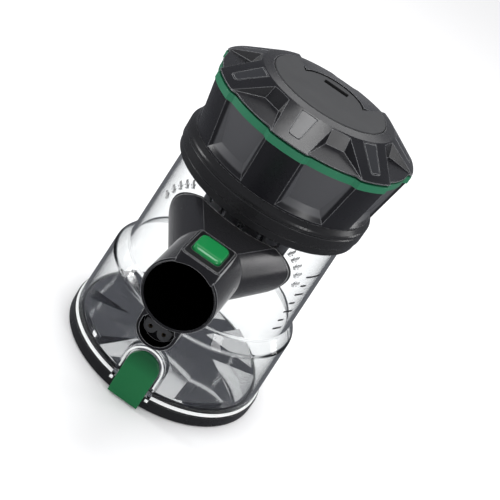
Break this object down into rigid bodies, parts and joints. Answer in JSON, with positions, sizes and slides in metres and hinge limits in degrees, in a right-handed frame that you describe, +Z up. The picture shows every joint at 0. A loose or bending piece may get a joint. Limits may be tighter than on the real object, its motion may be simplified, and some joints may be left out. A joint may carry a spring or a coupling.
{
  "type": "cyclone dust bin",
  "caption": "Clear round dust bin with a faceted twist cap, a forked wand inlet with a release button, and a latched drop-down base door.",
  "frame": {"origin": "the middle of the base door's flat underside, on the axis of the bin", "axes": "+Z up the axis of the bin to the cap, -Y out of the wand inlet, +X to the right seen from the inlet"},
  "size_m": [0.12, 0.1765, 0.1856],
  "materials": {
    "clear_plastic": "clear, polished",
    "black_gloss": "semi-gloss",
    "black_satin": "satin",
    "dark_grey_gloss": "gloss",
    "grey_matte": "fine matte",
    "green_band": "satin",
    "green_button": "gloss",
    "green_latch": "gloss",
    "inner_plastic": "satin",
    "screen": "fine mesh",
    "filter_paper": "pleated paper",
    "foam": "open-cell foam",
    "rubber": "soft",
    "steel": "bright",
    "brass": "bright"
  },
  "bodies": {
    "bin": {"dust_bin": "clear_plastic", "hinge_pin": "steel", "latch_pin": "steel", "latch_spring": "steel", "inlet_duct": "black_gloss", "duct_gasket": "rubber", "button_bezel": "black_satin", "button_spring": "steel", "connector_socket": "grey_matte", "connector_terminals": "brass", "bin_collar": "black_satin", "lock_ring": "black_satin"},
    "door": {"base_door": "black_satin", "floor_plate": "dark_grey_gloss", "door_seal": "rubber"},
    "latch": {"door_latch": "green_latch"},
    "button": {"release_button": "green_button"},
    "cap": {"cap_body": "black_gloss", "green_band": "green_band", "cap_crown": "black_gloss", "crown_disc": "grey_matte", "lug_pads": "black_gloss", "cap_seal": "rubber", "cyclone_deck": "inner_plastic", "shroud_cage": "inner_plastic", "shroud_screen": "screen", "shroud_foot": "inner_plastic", "filter_frame": "inner_plastic", "pleated_filter": "filter_paper", "foam_ring": "foam"}
  },
  "joints": [
    {"name": "door_hinge", "type": "hinge", "parent": "bin", "child": "door", "pos_m": [0, 0.063, 0.005], "axis": [1, 0, 0], "range_deg": [0, 90]},
    {"name": "latch_pivot", "type": "hinge", "parent": "bin", "child": "latch", "pos_m": [0, -0.0612, 0.0125], "axis": [-1, 0, 0], "range_deg": [0, 9], "stiffness_Nm_per_rad": 0.05, "springref_deg": -11.46},
    {"name": "button_press", "type": "slide", "parent": "bin", "child": "button", "axis": [0, 0, -1], "range_m": [0, 0.0016], "stiffness_N_per_m": 400, "deforming": ["button_spring"]},
    {"name": "cap_twist", "type": "hinge", "parent": "bin", "child": "cap", "pos_m": [0, 0, 0.1382], "axis": [0, 0, 1], "range_deg": [0, 25]}
  ]
}
